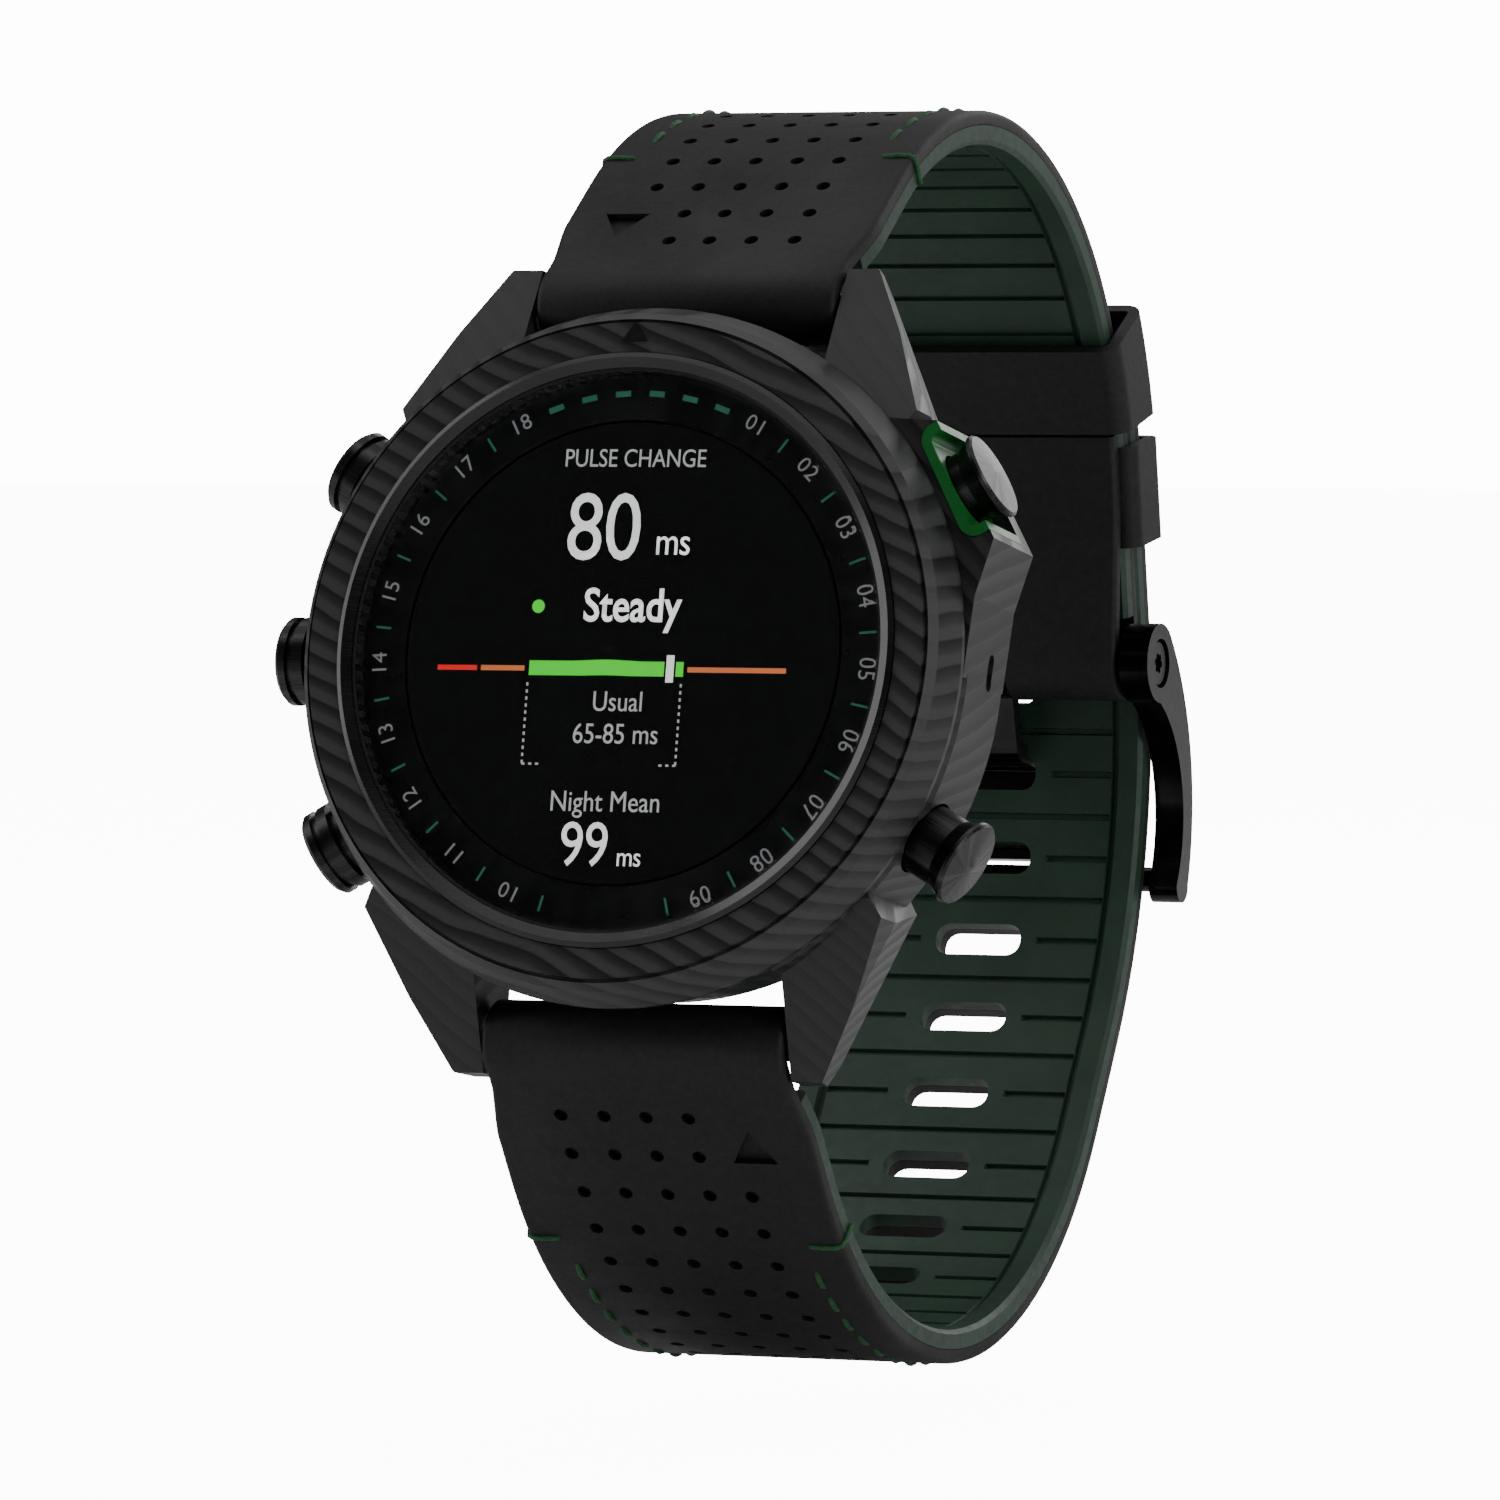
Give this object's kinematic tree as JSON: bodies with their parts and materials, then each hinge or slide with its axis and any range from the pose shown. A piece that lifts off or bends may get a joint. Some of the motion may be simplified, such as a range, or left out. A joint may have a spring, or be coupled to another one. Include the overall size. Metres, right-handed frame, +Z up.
{
  "type": "golf gps watch",
  "caption": "Round sports watch with layered black case, domed glass, side push buttons and a closed two-piece leather strap with ribbed green lining, keepers and buckle.",
  "frame": {"origin": "the middle of the wrist that the closed strap goes round", "axes": "+Z up, -Y the way the dial faces (leaning back 10.7 degrees), +X towards 3 o'clock"},
  "size_m": [0.0522, 0.0794, 0.0877],
  "materials": {
    "forged_carbon": "satin layered composite",
    "dark_titanium": "dark coated brushed metal",
    "crystal": "polished",
    "sensor_glass": "polished",
    "dial": "gloss black",
    "display": "lit panel",
    "inner_plastic": "moulded",
    "circuit_board": "solder mask",
    "chip": "moulded",
    "cell": "foil",
    "steel": "machined",
    "gold_contact": "plated",
    "seal_rubber": "matte",
    "green_insert": "satin",
    "leather": "fine matte grain",
    "lining": "matte ribbed",
    "buckle_black": "polished black coating"
  },
  "bodies": {
    "case": {"case_body": "forged_carbon", "bezel": "forged_carbon", "crystal_rim": "dark_titanium", "crystal": "crystal", "crystal_gasket": "seal_rubber", "dial_ring": "dial", "display_panel": "display", "inner_frame": "inner_plastic", "main_board": "circuit_board", "board_chips": "chip", "battery": "cell", "vibration_motor": "steel", "antenna_ring": "inner_plastic", "case_back": "dark_titanium", "case_back_gasket": "seal_rubber", "case_back_screws": "steel", "sensor_window": "sensor_glass", "sensor_board": "circuit_board", "charge_contacts": "gold_contact", "button_guard": "green_insert", "pressure_vent": "dark_titanium", "lug_bars": "steel", "button_switches": "inner_plastic", "button_bushes": "steel", "button_springs": "steel"},
    "start_button": {"start_button": "dark_titanium", "start_button_seal": "seal_rubber", "start_button_clip": "steel"},
    "back_button": {"back_button": "dark_titanium", "back_button_seal": "seal_rubber", "back_button_clip": "steel"},
    "down_button": {"down_button": "dark_titanium", "down_button_seal": "seal_rubber", "down_button_clip": "steel"},
    "up_button": {"up_button": "dark_titanium", "up_button_seal": "seal_rubber", "up_button_clip": "steel"},
    "light_button": {"light_button": "dark_titanium", "light_button_seal": "seal_rubber", "light_button_clip": "steel"},
    "upper_strap": {"short_strap_front_leather": "leather", "short_strap_front_lining": "lining", "upper_strap_hook": "steel"},
    "upper_latch": {"upper_strap_latch": "steel"},
    "band_rear": {"short_strap_rear_leather": "leather", "short_strap_rear_lining": "lining", "long_strap_rear_leather": "leather", "long_strap_rear_lining": "lining", "fixed_keeper": "leather", "buckle_bolt": "buckle_black", "buckle_screws": "buckle_black"},
    "lower_strap": {"long_strap_front_leather": "leather", "long_strap_front_lining": "lining", "lower_strap_hook": "steel"},
    "lower_latch": {"lower_strap_latch": "steel"},
    "free_keeper": {"free_keeper": "leather"},
    "buckle_frame": {"buckle_frame": "buckle_black"},
    "buckle_tang": {"buckle_tang": "buckle_black"}
  },
  "joints": [
    {"name": "start_press", "type": "slide", "parent": "case", "child": "start_button", "axis": [-0.8746, -0.09, -0.4764], "range_m": [0, 0.0006], "stiffness_N_per_m": 2500, "deforming": ["button_springs"]},
    {"name": "back_press", "type": "slide", "parent": "case", "child": "back_button", "axis": [-0.8746, 0.09, 0.4764], "range_m": [0, 0.0006], "stiffness_N_per_m": 2500},
    {"name": "down_press", "type": "slide", "parent": "case", "child": "down_button", "axis": [0.866, 0.0928, 0.4913], "range_m": [0, 0.0006], "stiffness_N_per_m": 2500},
    {"name": "up_press", "type": "slide", "parent": "case", "child": "up_button", "axis": [1, 0, 0], "range_m": [0, 0.0006], "stiffness_N_per_m": 2500},
    {"name": "light_press", "type": "slide", "parent": "case", "child": "light_button", "axis": [0.866, -0.0928, -0.4913], "range_m": [0, 0.0006], "stiffness_N_per_m": 2500},
    {"name": "strap_flex", "type": "hinge", "parent": "case", "child": "upper_strap", "pos_m": [0, -0.02427, 0.03044], "axis": [1, 0, 0], "range_deg": [-6, 6], "stiffness_Nm_per_rad": 1},
    {"name": "crown_flex", "type": "hinge", "parent": "upper_strap", "child": "band_rear", "pos_m": [0, 0.00115, 0.0434], "axis": [1, 0, 0], "range_deg": [-4, 4]},
    {"name": "foot_flex", "type": "hinge", "parent": "band_rear", "child": "lower_strap", "pos_m": [0, -0.01185, -0.04123], "axis": [1, 0, 0], "range_deg": [-4, 4]},
    {"name": "free_keeper_slide", "type": "hinge", "parent": "band_rear", "child": "free_keeper", "pos_m": [0, 0.00025, 0.01481], "axis": [1, 0, 0], "range_deg": [0, 12]},
    {"name": "buckle_lift", "type": "hinge", "parent": "band_rear", "child": "buckle_frame", "pos_m": [0, 0.02892, 0.00492], "axis": [1, 0, 0], "range_deg": [0, 3]},
    {"name": "tang_lift", "type": "hinge", "parent": "band_rear", "child": "buckle_tang", "pos_m": [0, 0.02892, 0.00492], "axis": [1, 0, 0], "range_deg": [-1, 5]},
    {"name": "upper_latch_slide", "type": "slide", "parent": "upper_strap", "child": "upper_latch", "axis": [0, 0.825, 0.5651], "range_m": [0, 0.0012], "stiffness_N_per_m": 800},
    {"name": "lower_latch_slide", "type": "slide", "parent": "lower_strap", "child": "lower_latch", "axis": [0, 0.5666, -0.824], "range_m": [0, 0.0012], "stiffness_N_per_m": 800}
  ],
  "couplings": [
    {"joint": "crown_flex", "follows": "strap_flex", "ratio": -0.6078},
    {"joint": "foot_flex", "follows": "strap_flex", "ratio": 0.5379},
    {"joint": "tang_lift", "follows": "buckle_lift", "ratio": 1}
  ]
}
